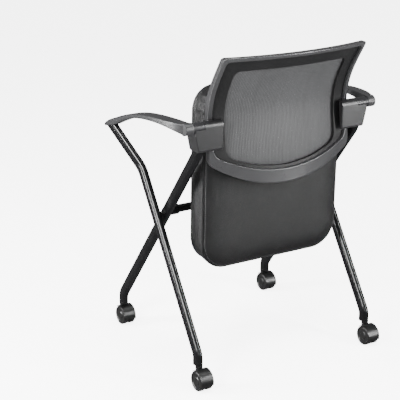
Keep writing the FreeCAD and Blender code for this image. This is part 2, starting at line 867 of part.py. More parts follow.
def seat_pan():
    body = new_body("seat_pan")
    half_width = d.seat_half_width - d.pan_inset
    low = seat_bottom_z + d.pan_inset
    high = seat_top_z - d.pan_inset
    plate = on_front(body, "plate_sketch", underside_y + d.pan_thickness / 2)
    box_outline(plate, -half_width, low, half_width, high, d.pan_corner)
    pad(body, "plate", plate, d.pan_thickness)
    recess = on_front(body, "recess_sketch", underside_y)
    for side in SIDES.values():
        x = d.hinge_x * side
        box_outline(recess, x - 30.2, flange_low_z - d.fit_gap, x + 30.2,
                    flange_high_z + d.fit_gap, 6.0)
    pocket(body, "flange_recess", recess, d.lug_thickness * 2)
    windows = on_front(body, "windows_sketch", underside_y)
    for side in SIDES.values():
        for start in (-106, 74, 164, 254):
            near, far = sorted((6.0 * side, 112.0 * side))
            box_outline(windows, near, pivot_z + start, far, pivot_z + start + 78, 8.0)
    pocket(body, "windows", windows, d.pan_window_depth * 2)
    side_windows = on_front(body, "side_windows_sketch", underside_y)
    for side in SIDES.values():
        for start in (74, 164, 254):
            near, far = sorted((124.0 * side, 192.0 * side))
            box_outline(side_windows, near, pivot_z + start, far, pivot_z + start + 78, 8.0)
    pocket(body, "side_windows", side_windows, d.pan_window_depth * 2)
    holes = on_front(body, "screw_holes_sketch", underside_y)
    for x, z, length in pan_screws():
        circle(holes, x, z, 2.1)
    pocket(body, "screw_holes", holes, d.pan_thickness * 2 + 6)


def pan_screws():
    """Place and length of the flange screws, then of those that hold the cushion."""
    screws = []
    for side in SIDES.values():
        for across, up in flange_screws():
            screws.append((d.hinge_x * side + across, pivot_z + up, 8.4))
    for side in SIDES.values():
        for up in (-110, 120, 330):
            screws.append((165.0 * side, pivot_z + up, 13.0))
    return screws


def seat_screws():
    body = new_body("seat_screws")
    for i, (x, z, length) in enumerate(pan_screws()):
        head = on_front(body, "head%d_sketch" % i, underside_y - 1.2)
        circle(head, x, z, 4.2)
        pad(body, "head%d" % i, head, 2.4)
        shank = on_front(body, "shank%d_sketch" % i, underside_y + length / 2 - 0.2)
        circle(shank, x, z, 2.0)
        pad(body, "shank%d" % i, shank, length)


def cushion_section(body, name, y, inset):
    """The seat's outline from the front, drawn in by an inset."""
    sketch = on_front(body, name, y)
    half_width = d.seat_half_width - inset
    low = seat_bottom_z + inset
    high = seat_top_z - inset
    rear = d.seat_rear_corner - inset * 0.5
    front = d.seat_front_corner - inset * 0.5
    outline(sketch, [
        (-half_width, low, rear),
        (half_width, low, rear),
        (half_width, high, front),
        (-half_width, high, front),
    ])
    return sketch


def seat_cushion():
    """Upholstered cushion: sides drawn in below the seam, crowned sitting face."""
    body = new_body("seat_cushion")
    floor_y = underside_y + d.cushion_lip
    flank = [
        cushion_section(body, "lower_edge", floor_y, 8.0),
        cushion_section(body, "flank", floor_y + (seam_y - floor_y) * 0.5, 3.0),
        cushion_section(body, "seam", seam_y, 0.0),
    ]
    lofted(body, "sides", flank)
    crown = [
        cushion_section(body, "seam_again", seam_y, 0.0),
        cushion_section(body, "shoulder", seam_y + d.seat_crown * 0.35, 9.0),
        cushion_section(body, "slope", seam_y + d.seat_crown * 0.78, 40.0),
        cushion_section(body, "summit", seam_y + d.seat_crown, 96.0),
    ]
    lofted(body, "crown", crown)
    recess = on_front(body, "pan_recess_sketch", underside_y)
    half_width = d.seat_half_width - d.pan_inset + d.fit_gap
    box_outline(recess, -half_width, seat_bottom_z + d.pan_inset - d.fit_gap, half_width,
                seat_top_z - d.pan_inset + d.fit_gap, d.pan_corner)
    pocket(body, "pan_recess", recess, (d.pan_thickness + d.fit_gap) * 2)
    holes = on_front(body, "screw_holes_sketch", underside_y)
    for x, z, length in pan_screws():
        circle(holes, x, z, 2.1)
    pocket(body, "screw_holes", holes, d.pan_thickness * 2 + 8)


# Brackets, collars and arms

def back_bracket(name, side):
    """Moulded housing that grips the leg's head and the side of the back."""
    body = new_body(name)
    centre = (d.bracket_inner_x + d.bracket_outer_x) / 2 * side
    shell = on_side(body, "shell_sketch", centre)
    rear_y = d.barrel_y + d.barrel_radius
    outline(shell, [
        (d.bracket_front_y, d.bracket_bottom_z, 5.0),
        (rear_y, d.bracket_bottom_z, 7.0),
        (rear_y, d.barrel_z),
        (d.barrel_y - d.barrel_radius, d.barrel_z),
        (d.bracket_front_y, d.barrel_z - 26, 12.0),
    ])
    pad(body, "shell", shell, d.bracket_outer_x - d.bracket_inner_x)
    taper = on_front(body, "taper_sketch")
    corners = [
        (d.inner_leg_x + 12, d.bracket_bottom_z - 4),
        (d.bracket_outer_x + 12, d.bracket_bottom_z - 4),
        (d.bracket_outer_x + 12, d.barrel_z - d.barrel_radius),
        (d.bracket_outer_x + 0.5, d.barrel_z - d.barrel_radius - 2),
    ]
    outline(taper, [(u * side, v) for u, v in corners])
    pocket(body, "taper", taper)
    rounded(body, "shell_edges", lambda edge: middle(edge).z < float(d.barrel_z) - 0.1,
            d.bracket_edge)
    barrel = on_side(body, "barrel_sketch", (d.bracket_inner_x + d.barrel_outer_x) / 2 * side)
    circle(barrel, d.barrel_y, d.barrel_z, d.barrel_radius)
    pad(body, "barrel", barrel, d.barrel_outer_x - d.bracket_inner_x)
    seat_length = d.bracket_outer_x - d.barrel_outer_x + 4
    collar_seat = on_side(body, "collar_seat_sketch", (d.barrel_outer_x + seat_length / 2) * side)
    circle(collar_seat, d.barrel_y, d.barrel_z, d.barrel_radius + d.fit_gap * 2)
    pocket(body, "collar_seat", collar_seat, seat_length)
    back_band(body, "rim_clearance", d.back_half_width + d.contact_gap, -40.0,
              d.back_depth + d.fit_gap, BACK_STATIONS, "SubtractiveLoft")
    route = inner_leg_route(body, "leg_route", side, d.leg_foot_z)
    socket = on_plan(body, "leg_socket_sketch", d.leg_foot_z)
    obround(socket, d.inner_leg_x * side, -d.leg_foot_y, d.tube_width + d.fit_gap * 2,
            d.tube_depth + d.fit_gap * 2)
    piped(body, "leg_socket", socket, route, "SubtractivePipe")
    hole = on_side(body, "bolt_hole_sketch", d.barrel_outer_x * side)
    circle(hole, d.barrel_y, d.barrel_z, 4.0 + d.running_gap)
    pocket(body, "bolt_hole", hole, 56.0)


def arm_collar(name, side):
    body = new_body(name)
    length = d.collar_outer_x - d.barrel_outer_x - d.fit_gap * 2
    middle_x = (d.barrel_outer_x + d.collar_outer_x) / 2 * side
    ring = on_side(body, "collar_sketch", middle_x)
    circle(ring, d.barrel_y, d.barrel_z, d.collar_radius)
    circle(ring, d.barrel_y, d.barrel_z, d.collar_radius - 6)
    pad(body, "collar", ring, length)


def arm_blank(body, side):
    """The arm's form: sections along its length, and a round end over the barrel."""
    sections = []
    for station in ARM_STATIONS:
        y, inner, outer, low, high = [getattr(d, "arm_" + station + "_" + what)
                                      for what in ("y", "in", "out", "low", "high")]
        section = on_front(body, "section_" + station, y)
        near, far = (inner, outer) if side > 0 else (-outer, -inner)
        box_outline(section, near, low, far, high, d.arm_edge)
        sections.append(section)
    lofted(body, "length", sections)
    end = on_side(body, "end_sketch", (d.collar_outer_x + d.arm_end_out) / 2 * side)
    circle(end, d.barrel_y, d.barrel_z, d.arm_end_radius)
    pad(body, "end", end, d.arm_end_out - d.collar_outer_x)
    below = on_side(body, "leg_seat_sketch", 300.0 * side)
    slope = d.leg_seat_rise / (d.arm_seat_y - d.arm_tip_y)
    outline(below, [
        (d.arm_tip_y - 20, d.leg_seat_z - 60),
        (d.arm_tip_y - 20, d.leg_seat_z - slope * 20),
        (d.arm_seat_y + 5, d.leg_seat_z + d.leg_seat_rise + slope * 5),
        (d.arm_seat_y + 5, d.leg_seat_z - 60),
    ])
    pocket(body, "leg_seat", below, 200.0)


def arm(name, side):
    body = new_body(name)
    arm_blank(body, side)
    bore = on_side(body, "cap_bore_sketch", (d.collar_outer_x + 10 + 30) * side)
    circle(bore, d.barrel_y, d.barrel_z, d.cap_radius + d.fit_gap)
    pocket(body, "cap_bore", bore, 60.0)
    hole = on_side(body, "bolt_hole_sketch", d.collar_outer_x * side)
    circle(hole, d.barrel_y, d.barrel_z, 4.2)
    pocket(body, "bolt_hole", hole, 40.0)


def arm_cap(name, side):
    """Round cover over the arm's bolt, flush with the arm's outer face."""
    body = new_body(name)
    arm_blank(body, side)
    ring = on_side(body, "around_sketch", 305.0 * side)
    box_outline(ring, -500.0, 400.0, 500.0, 900.0)
    circle(ring, d.barrel_y, d.barrel_z, d.cap_radius)
    pocket(body, "around", ring, 400.0)
    hollow = on_side(body, "bolt_room_sketch", (d.collar_outer_x - 20) * side)
    circle(hollow, d.barrel_y, d.barrel_z, d.cap_radius + 4)
    pocket(body, "bolt_room", hollow, 72.0)


def arm_bolts():
    """Bolts that hold each arm and collar to its bracket."""
    body = new_body("arm_bolts")
    for label, side in SIDES.items():
        head_x = d.collar_outer_x + 10
        end_x = d.barrel_outer_x - 27
        shank = on_side(body, label + "_shank_sketch", (head_x + end_x) / 2 * side)
        circle(shank, d.barrel_y, d.barrel_z, 4.0)
        pad(body, label + "_shank", shank, head_x - end_x)
        head = on_side(body, label + "_head_sketch", (head_x + 2.5) * side)
        circle(head, d.barrel_y, d.barrel_z, 7.0)
        pad(body, label + "_head", head, 5.0)


# Casters

def foot_plug(name, x, foot_y):
    """Plastic end of a leg: insert, lip and the offset neck that takes the caster stem."""
    body = new_body(name)
    way = 1 if float(foot_y) > 0 else -1
    stem_y = foot_y + d.stem_shift * way
    lip = on_plan(body, "lip_sketch", d.leg_foot_z - d.plug_lip / 2)
    obround(lip, x, foot_y, d.tube_width, d.tube_depth)
    pad(body, "lip", lip, d.plug_lip)
    insert = on_plan(body, "insert_sketch", d.leg_foot_z + d.plug_insert / 2)
    slack = (d.tube_wall + d.fit_gap) * 2
    obround(insert, x, foot_y, d.tube_width - slack, d.tube_depth - slack)
    pad(body, "insert", insert, d.plug_insert)
    neck_height = d.leg_foot_z - d.neck_bottom_z
    neck = on_plan(body, "neck_sketch", d.neck_bottom_z + neck_height / 2)
    circle(neck, x, stem_y, d.tube_width / 2)
    pad(body, "neck", neck, neck_height)
    bore = on_plan(body, "bore_sketch", d.neck_bottom_z)
    circle(bore, x, stem_y, d.stem_radius + d.running_gap)
    pocket(body, "bore", bore, (neck_height + d.plug_insert - 2) * 2)


def set_at(body, x, y, z):
    """Puts a piece that is modelled about its own origin in its place."""
    body.Placement = FreeCAD.Placement(V(float(x), float(y), float(z)), FreeCAD.Rotation())
    bind(body, "Placement.Base.x", x)
    bind(body, "Placement.Base.y", y)
    bind(body, "Placement.Base.z", z)


def caster_hood(name):
    """Hood over both wheels, with the central web, hub and stem boss."""
    body = new_body(name)
    reach = d.hood_radius
    cover = on_side(body, "cover_sketch")
    low = (reach * math.cos(math.radians(-14)), reach * math.sin(math.radians(-14)))
    high = (reach * math.cos(math.radians(130)), reach * math.sin(math.radians(130)))
    ring = Part.Circle(V(0, 0, 0), V(0, 0, 1), float(reach))
    cover.addGeometry(Part.ArcOfCircle(ring, math.radians(-14), math.radians(130)), False)
    cover.addGeometry(Part.LineSegment(V(float(high[0]), float(high[1]), 0), V(0, 0, 0)), False)
    cover.addGeometry(Part.LineSegment(V(0, 0, 0), V(float(low[0]), float(low[1]), 0)), False)
    cover.addConstraint(Sketcher.Constraint("Coincident", 0, 3, -1, 1))
    cover.addConstraint(Sketcher.Constraint("Coincident", 0, 2, 1, 1))
    cover.addConstraint(Sketcher.Constraint("Coincident", 1, 2, -1, 1))
    cover.addConstraint(Sketcher.Constraint("Coincident", 2, 1, -1, 1))
    cover.addConstraint(Sketcher.Constraint("Coincident", 2, 2, 0, 1))
    dimension(cover, "DistanceX", (-1, 1, 0, 1), low[0])
    dimension(cover, "DistanceY", (-1, 1, 0, 1), low[1])
    dimension(cover, "DistanceX", (-1, 1, 0, 2), high[0])
    pad(body, "cover", cover, d.hood_width)
    boss = on_plan(body, "boss_sketch", d.boss_top - 10)
    circle(boss, 0.0, -d.trail, d.boss_radius)
    pad(body, "boss", boss, 20.0)
    cavity_width = (d.hood_width - d.web_width) / 2 + 1
    for label, side in SIDES.items():
        cavity = on_side(body, label + "_cavity_sketch",
                         (d.web_width / 2 + cavity_width / 2) * side)
        circle(cavity, 0.0, 0.0, d.hood_cavity)
        pocket(body, label + "_cavity", cavity, cavity_width)
    hub = on_side(body, "hub_sketch")
    circle(hub, 0.0, 0.0, d.axle_radius + 5)
    pad(body, "hub", hub, d.web_width)
    axle_hole = on_side(body, "axle_hole_sketch")
    circle(axle_hole, 0.0, 0.0, d.axle_radius + d.running_gap)
    pocket(body, "axle_hole", axle_hole, d.web_width * 2)
    stem_hole = on_plan(body, "stem_hole_sketch", d.boss_top)
    circle(stem_hole, 0.0, -d.trail, d.stem_radius + d.running_gap)
    pocket(body, "stem_hole", stem_hole, (d.boss_top - d.stem_step) * 2)
    spigot_hole = on_plan(body, "spigot_hole_sketch", d.stem_step)
    circle(spigot_hole, 0.0, -d.trail, d.spigot_radius + d.running_gap)
    pocket(body, "spigot_hole", spigot_hole, 26.0)
    return body


def caster_stem(name):
    body = new_body(name)
    top = d.leg_foot_z + d.plug_insert - 3 - d.wheel_radius
    low = d.stem_step - 12
    profile = on_side(body, "stem_sketch")
    outline(profile, [
        (0.0, low),
        (d.spigot_radius, low),
        (d.spigot_radius, d.stem_step + 0.1),
        (d.stem_radius, d.stem_step + 0.1),
        (d.stem_radius, top - 6),
        (d.stem_radius - 0.8, top - 6),
        (d.stem_radius - 0.8, top - 4),
        (d.stem_radius, top - 4),
        (d.stem_radius, top - 1.5),
        (d.stem_radius - 1.5, top),
        (0.0, top),
    ])
    turned(body, "stem", profile, "V_Axis")
    return body


def caster_axle(name):
    body = new_body(name)
    rod = on_side(body, "axle_sketch")
    circle(rod, 0.0, 0.0, d.axle_radius)
    pad(body, "axle", rod, (d.wheel_outer_x - 2.6) * 2)
    return body


def caster_wheel(name, way):
    """One wheel of the pair: dished outer face, rounded tread and a blind bore."""
    body = new_body(name)
    inner, outer, radius = d.wheel_inner_x, d.wheel_outer_x, d.wheel_radius
    bore = d.axle_radius + d.running_gap
    corners = [
        (inner, bore),
        (outer - 2.2, bore),
        (outer - 2.2, 0.0),
        (outer - 0.8, 0.0),
        (outer - 0.8, radius * 0.36),
        (outer - 2.4, radius * 0.44),
        (outer - 2.4, radius * 0.74),
        (outer, radius * 0.82),
        (outer, radius, 2.6),
        (inner, radius, 1.4),
    ]
    profile = on_front(body, "wheel_sketch")
    outline(profile, [(corner[0] * way,) + corner[1:] for corner in corners])
    turned(body, "wheel", profile)
    return body


def caster(corner, x, foot_y):
    """All the pieces of one twin-wheel caster, trailing to the rear."""
    way = 1 if float(foot_y) > 0 else -1
    stem_y = foot_y + d.stem_shift * way
    foot_plug(corner + "_foot_plug", x, foot_y)
    parts = [
        caster_hood(corner + "_caster_hood"),
        caster_axle(corner + "_caster_axle"),
        caster_wheel(corner + "_caster_wheel_a", 1),
        caster_wheel(corner + "_caster_wheel_b", -1),
    ]
    for piece in parts:
        set_at(piece, x, stem_y + d.trail, d.wheel_radius)
    stem = caster_stem(corner + "_caster_stem")
    set_at(stem, x, stem_y, d.wheel_radius)


def build():
    back_frame()
    mesh_carrier()
    back_mesh()
    cross_bar()
    bar_bolts()
    pin_clips()
    stop_bumpers()
    rest_pads()
    seat_pan()
    seat_screws()
    seat_cushion()
    arm_bolts()
    for label, side in SIDES.items():
        inner_leg(label + "_inner_leg", side)
        outer_leg(label + "_outer_leg", side)
        leg_spacer(label + "_leg_spacer", side)
        bar_sleeve(label + "_bar_sleeve", side)
        bar_insert(label + "_bar_insert", side)
        hinge_ear(label + "_hinge_ear", side)
        pan_hinge(label + "_pan_hinge", side)
        hinge_pin(label + "_hinge_pin", side)
        back_bracket(label + "_back_bracket", side)
        arm_collar(label + "_arm_collar", side)
        arm(label + "_arm", side)
        arm_cap(label + "_arm_cap", side)
        caster(label + "_front", d.inner_leg_x * side, -d.leg_foot_y)
        caster(label + "_rear", d.outer_leg_x * side, d.leg_foot_y)


def check_and_write():
    """Stops on any failed feature, then writes one file for each piece."""
    doc.recompute()
    failed = [thing.Name for thing in doc.Objects
              if "Invalid" in thing.State or "Error" in thing.State]
    if failed:
        raise RuntimeError("failed features: %s" % ", ".join(failed))
    for piece in pieces:
        if piece.Shape.isNull() or not piece.Shape.isValid():
            raise RuntimeError("%s has no valid shape" % piece.Label)
    os.makedirs("parts", exist_ok=True)
    for piece in pieces:
        piece.Shape.exportStep("parts/%s.step" % piece.Label)
    print("wrote", len(pieces), "pieces")


build()
check_and_write()
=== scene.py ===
import bpy
import bmesh
import json
import math
from mathutils import Matrix, Vector
from mathutils.bvhtree import BVHTree


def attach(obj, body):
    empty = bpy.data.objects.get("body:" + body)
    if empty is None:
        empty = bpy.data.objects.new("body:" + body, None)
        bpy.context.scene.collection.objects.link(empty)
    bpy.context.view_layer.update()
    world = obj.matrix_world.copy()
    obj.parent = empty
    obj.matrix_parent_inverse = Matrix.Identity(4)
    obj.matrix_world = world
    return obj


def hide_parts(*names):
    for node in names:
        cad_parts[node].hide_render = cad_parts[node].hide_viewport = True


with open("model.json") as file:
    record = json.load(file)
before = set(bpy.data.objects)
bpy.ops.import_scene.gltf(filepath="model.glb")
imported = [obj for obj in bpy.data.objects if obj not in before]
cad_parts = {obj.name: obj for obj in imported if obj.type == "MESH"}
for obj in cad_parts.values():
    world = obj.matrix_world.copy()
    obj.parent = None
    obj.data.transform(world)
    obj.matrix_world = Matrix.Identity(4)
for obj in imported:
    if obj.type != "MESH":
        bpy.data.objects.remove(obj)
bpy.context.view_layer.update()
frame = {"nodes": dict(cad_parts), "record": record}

# Measures of the seat in the part's source, in metres
SEAM_Y = 0.1484
SEAT_LOW_Z = 0.283
SEAT_HIGH_Z = 0.790
SEAT_HALF_WIDTH = 0.224
REAR_CORNER = 0.078
FRONT_CORNER = 0.066
PAN_INSET = 0.018
PAN_TOP_Y = 0.0866
PAN_CORNER = 0.052

# The cover: its skin, the room for its stuffing and the dome of its sitting face, in metres
VOXEL = 0.0046
DRAWN_IN = 0.003
STUFFING_ROOM = 0.007
CLOTH_FRAMES = 20
LOWEST_COVER_Y = 0.0778
CROWN_HEIGHT = 0.0146
CROWN_REACH = 0.105
CROWN_EDGE = 0.012
CROWN_POWER = 3.5

# Relief beside the cover's seam: height, distance from the seam and width, in metres
GROOVE = (0.0022, 0.0, 0.0030)
QUILT = (0.0010, 0.0085, 0.0022)
SWELL = (0.0008, 0.0045, 0.0025)
GATHER = (0.0018, 0.0, 0.022)
GATHER_WAVES = 19.0

# Stitches: length, width and height of one, pitch, and inset and Y of each row, in metres
STITCH_SIZE = (0.0019, 0.00055, 0.0005)
STITCH_PITCH = 0.0052
STITCH_ROWS = ((0.0075, SEAM_Y + 0.006), (0.0005, SEAM_Y - 0.0085))
STITCH_LIFT = 0.00015

# The mesh sheet, in metres: its flat grid, its lift off the carrier and its outline, which is
# half width, top, lower corner, lowest point, then the radii of top, corner and lowest point
SHEET_GRID = (76, 60)
SHEET_CUT = (0.44, 0.36)
SHEET_MIDDLE_Z = 0.71
SHEET_LIFT = 0.0006
SHEET_OUTLINE = (0.2078, 0.8728, 0.6207, 0.5253, 0.008, 0.033, 0.450)
MESH_THICKNESS = 0.0009
RIB_PITCH = 0.0044
CROSS_PITCH = 0.0030

# Light levels of the studio
SKY = 0.24
FLOOR_GLOW = 5.2

# The photograph's camera: degrees, pixels, and millimetres before the scale
AZIMUTH = 147.78
ELEVATION = 19.03
ROLL = -0.84
FOCAL_PIXELS = 1282.2
SHIFT_PIXELS = (-4.0, -4.6)
PHOTO_PIXELS = 400.0
SENSOR = 36.0
TARGET = (114.2, -20.5, 450.0)
DISTANCE = 3701.6
CAMERA_SCALE = 0.965 * 0.001


# Shader helpers

class Wire:
    """A value that varies over a surface; sums on it add the nodes that work them out."""

    def __init__(self, finish, socket):
        self.finish = finish
        self.socket = socket

    def sum(self, operation, *values):
        node = self.finish.node("ShaderNodeMath", {"operation": operation},
                                dict(enumerate(values)))
        return node["Value"]

    def __add__(self, other):
        return self.sum("ADD", self, other)

    __radd__ = __add__

    def __sub__(self, other):
        return self.sum("SUBTRACT", self, other)

    def __rsub__(self, other):
        return self.sum("SUBTRACT", other, self)

    def __mul__(self, other):
        return self.sum("MULTIPLY", self, other)

    __rmul__ = __mul__

    def power(self, exponent):
        return self.sum("POWER", self, exponent)

    def sine(self):
        return self.sum("SINE", self)

    def size(self):
        return self.sum("ABSOLUTE", self)

    def above(self, level):
        return self.sum("GREATER_THAN", self, level)

    def at_most(self, other):
        return self.sum("MINIMUM", self, other)

    def at_least(self, other):
        return self.sum("MAXIMUM", self, other)


class Outlets:
    """The output sockets of one node, by name."""

    def __init__(self, finish, node):
        self.finish = finish
        self.node = node

    def __getitem__(self, name):
        return Wire(self.finish, self.node.outputs[name])


class Finish:
    """One material, with its surface shader and the values it is given."""

    def __init__(self, name, color, roughness, **fixed):
        self.material = bpy.data.materials.new(name)
        self.material.use_nodes = True
        self.tree = self.material.node_tree
        self.shader = self.tree.nodes["Principled BSDF"]
        self.give("Base Color", tuple(color) + (1.0,))
        self.give("Roughness", roughness)
        for socket, value in fixed.items():
            self.give(socket.replace("_", " "), value)

    def give(self, socket, value):
        target = self.shader.inputs[socket]
        if isinstance(value, Wire):
            self.tree.links.new(value.socket, target)
        else:
            target.default_value = value

    def node(self, kind, settings=None, inputs=None):
        node = self.tree.nodes.new(kind)
        for key, value in (settings or {}).items():
            setattr(node, key, value)
        for key, value in (inputs or {}).items():
            if isinstance(value, Wire):
                self.tree.links.new(value.socket, node.inputs[key])
            else:
                node.inputs[key].default_value = value
        return Outlets(self, node)

    def place(self):
        return self.node("ShaderNodeTexCoord")["Object"]

    def along(self):
        """X, Y and Z of the place on the object, in metres."""
        split = self.node("ShaderNodeSeparateXYZ", None, {"Vector": self.place()})
        return split["X"], split["Y"], split["Z"]

    def noise(self, scale, detail=2.0, roughness=0.5, where=None):
        node = self.node("ShaderNodeTexNoise", None, {
            "Vector": where or self.place(), "Scale": scale, "Detail": detail,
            "Roughness": roughness})
        return node["Fac"]

    def stretched(self, x, y, z):
        """The place on the object, with each axis stretched."""
        node = self.node("ShaderNodeMapping", None, {
            "Vector": self.place(), "Scale": (x, y, z)})
        return node["Vector"]

    def mix(self, share, dark, light):
        node = self.node("ShaderNodeMix", {"data_type": "RGBA"}, {
            "Factor": share, 6: tuple(dark) + (1.0,), 7: tuple(light) + (1.0,)})
        return Wire(self, node.node.outputs[2])

    def bump(self, height, distance, strength=1.0):
        node = self.node("ShaderNodeBump", None, {
            "Height": height, "Distance": distance, "Strength": strength})
        self.give("Normal", node["Normal"])


def powder_coat():
    f = Finish("powder_coat", (0.002, 0.002, 0.002), 0.2, Specular_IOR_Level=0.3)
    fine = f.noise(1500.0, 2.0)
    cloud = f.noise(30.0, 3.0)
    f.give("Roughness", 0.15 + fine * 0.05 + cloud * 0.05)
    f.give("Base Color", f.mix(cloud, (0.001, 0.001, 0.0011), (0.003, 0.003, 0.0033)))
    f.bump(fine, 0.00008)
    return f


def moulded(name, dark, light, roughness, grain=1100.0, depth=0.00012):
    """Injection-moulded plastic with a spark-eroded grain and soft handling marks."""
    f = Finish(name, dark, roughness, Specular_IOR_Level=0.42)
    fine = f.noise(grain, 3.0, 0.6)
    cloud = f.noise(14.0, 4.0, 0.6)
    f.give("Roughness", (roughness - 0.06) + fine * 0.1 + cloud * 0.06)
    f.give("Base Color", f.mix(cloud * 0.6 + fine * 0.4, dark, light))
    f.bump(fine, depth)
    return f


def mesh_cloth():
    """Fine stretched mesh: vertical ribs with small holes between the cross threads."""
    f = Finish("mesh", (0.03, 0.03, 0.031), 0.5, Specular_IOR_Level=0.3)
    x, y, z = f.along()
    rib = (x * (math.pi / RIB_PITCH)).sine()
    shift = rib.above(0.0) * math.pi
    cross = (z * (2 * math.pi / CROSS_PITCH) + shift).sine()
    thread = (rib.size().power(0.8)) * 0.65 + (cross * 0.5 + 0.5) * 0.35
    cloud = f.noise(7.0, 2.0)
    streak = f.noise(1.0, 2.0, 0.5, f.stretched(260.0, 8.0, 5.0))
    tone = (thread * 0.55 + cloud * 0.2 + streak * 0.35).at_most(1.0)
    f.give("Base Color", f.mix(tone, (0.0015, 0.0015, 0.0016), (0.034, 0.0343, 0.0355)))
    hole = (0.35 - rib.size()).at_least(0.0) * 2.8 * (0.2 - cross).at_least(0.0)
    f.give("Alpha", (1.0 - hole).at_least(0.25))
    f.bump(thread, 0.0004, 0.8)
    return f


def leather():
    f = Finish("leather", (0.002, 0.002, 0.002), 0.33, Specular_IOR_Level=0.34)
    cells = f.node("ShaderNodeTexVoronoi", {"feature": "DISTANCE_TO_EDGE"}, {
        "Vector": f.place(), "Scale": 620.0, "Randomness": 1.0})["Distance"]
    grain = (cells * 3.0).at_most(1.0)
    pores = f.noise(1700.0, 2.0)
    cloud = f.noise(16.0, 4.0, 0.6)
    f.give("Base Color", f.mix(cloud * 0.7 + grain * 0.3, (0.0008, 0.0008, 0.0009),
                               (0.003, 0.003, 0.0032)))
    f.give("Roughness", 0.26 + (1.0 - grain) * 0.1 + cloud * 0.14)
    crease = f.noise(38.0, 3.0, 0.65)
    f.bump(grain * 0.45 + pores * 0.12 + cloud * 1.6 + crease * 1.1, 0.0006, 0.9)
    return f


def thread_finish():
    f = Finish("thread", (0.03, 0.03, 0.032), 0.5, Specular_IOR_Level=0.4)
    twist = f.noise(2600.0, 1.0)
    f.give("Base Color", f.mix(twist, (0.02, 0.02, 0.021), (0.06, 0.06, 0.063)))
    f.bump(twist, 0.0002)
    return f


def steel():
    f = Finish("steel", (0.5, 0.5, 0.51), 0.3, Metallic=1.0)
    fine = f.noise(900.0, 3.0)
    f.give("Roughness", 0.24 + fine * 0.2)
    f.give("Base Color", f.mix(fine, (0.42, 0.42, 0.42), (0.6, 0.6, 0.6)))
    f.bump(fine, 0.00005)
    return f


def rubber():
    f = Finish("rubber", (0.018, 0.018, 0.018), 0.7, Specular_IOR_Level=0.42)
    fine = f.noise(1300.0, 2.0)
    f.give("Roughness", 0.62 + fine * 0.15)
    f.bump(fine, 0.0001)
    return f


FINISHES = {
    "powder_coat": powder_coat(),
    "black_bolt": moulded("black_bolt", (0.004, 0.004, 0.004), (0.008, 0.008, 0.008), 0.26),
    "back_plastic": moulded("back_plastic", (0.009, 0.009, 0.0095), (0.02, 0.02, 0.021), 0.27),
    "seat_plastic": moulded("seat_plastic", (0.003, 0.003, 0.003), (0.006, 0.006, 0.006), 0.45),
    "arm_plastic": moulded("arm_plastic", (0.006, 0.006, 0.0065), (0.016, 0.016, 0.017), 0.34,
                           900.0, 0.00018),
    "bracket_plastic": moulded("bracket_plastic", (0.003, 0.003, 0.0032),
                               (0.008, 0.008, 0.0085), 0.3),
    "caster_plastic": moulded("caster_plastic", (0.001, 0.001, 0.001),
                              (0.003, 0.003, 0.003), 0.3),
    "wheel_plastic": moulded("wheel_plastic", (0.0015, 0.0015, 0.0015),
                             (0.004, 0.004, 0.004), 0.34),
    "collar": moulded("collar", (0.006, 0.006, 0.0065), (0.012, 0.012, 0.013), 0.18,
                      700.0, 0.00003),
    "mesh": mesh_cloth(),
    "leather": leather(),
    "steel": steel(),
    "rubber": rubber(),
}


# Nodes painted darker than the rest of their slot: the mesh carrier sits recessed behind the
# frame's lip, and its darker plastic is painted shade for that recess
PAINTED_SHADE_NODES = {
    "mesh_carrier": moulded("carrier_painted_shade", (0.0015, 0.0015, 0.0016),
                            (0.004, 0.004, 0.0042), 0.42),
}


# Pieces

def piece_from(name, shape, slot, finish=None, smooth=True):
    """Makes a piece of a bmesh, in place, with its finish and its slot."""
    mesh = bpy.data.meshes.new(name)
    shape.to_mesh(mesh)
    shape.free()
    piece = bpy.data.objects.new(name, mesh)
    bpy.context.scene.collection.objects.link(piece)
    mesh.materials.append((finish or FINISHES[slot]).material)
    if smooth:
        mesh.shade_smooth()
    return piece


def dress_cad_nodes():
    """Every carried-over solid gets the finish of its slot, or else its own darker copy,
    painted shade for a recess.
    """
    for entry in frame["record"]["subparts"]:
        node = frame["nodes"][entry["node"]]
        finish = PAINTED_SHADE_NODES.get(entry["node"], FINISHES[entry["material_slot"]])
        node.data.materials.clear()
        node.data.materials.append(finish.material)


def corner_distance(x, z, half_width, low, high, low_radius, high_radius):
    """How far a point lies inside the seat's rounded outline; negative outside it."""
    middle = (low + high) / 2
    radius = low_radius if z < middle else high_radius
    across = abs(x) - (half_width - radius)
    up = (low + radius - z) if z < middle else (z - (high - radius))
    if across > 0 and up > 0:
        return radius - math.hypot(across, up)
    return min(half_width - abs(x), z - low, high - z)


def seat_inset(x, z):
    return corner_distance(x, z, SEAT_HALF_WIDTH, SEAT_LOW_Z, SEAT_HIGH_Z, REAR_CORNER,
                           FRONT_CORNER)


def pan_inset(x, z):
    return corner_distance(x, z, SEAT_HALF_WIDTH - PAN_INSET, SEAT_LOW_Z + PAN_INSET,
                           SEAT_HIGH_Z - PAN_INSET, PAN_CORNER, PAN_CORNER)


def merged_copy(node, name):
    """A copy of a CAD solid as one closed skin."""
    shape = bmesh.new()
    shape.from_mesh(frame["nodes"][node].data)
    bmesh.ops.remove_doubles(shape, verts=shape.verts, dist=1e-6)
    bmesh.ops.recalc_face_normals(shape, faces=shape.faces)
    mesh = bpy.data.meshes.new(name)
    shape.to_mesh(mesh)
    shape.free()
    piece = bpy.data.objects.new(name, mesh)
    bpy.context.scene.collection.objects.link(piece)
    return piece


def apply_modifiers(piece):
    bpy.context.view_layer.update()
    depsgraph = bpy.context.evaluated_depsgraph_get()
    settled = bpy.data.meshes.new_from_object(piece.evaluated_get(depsgraph))
    old = piece.data
    piece.modifiers.clear()
    piece.data = settled
    bpy.data.meshes.remove(old)


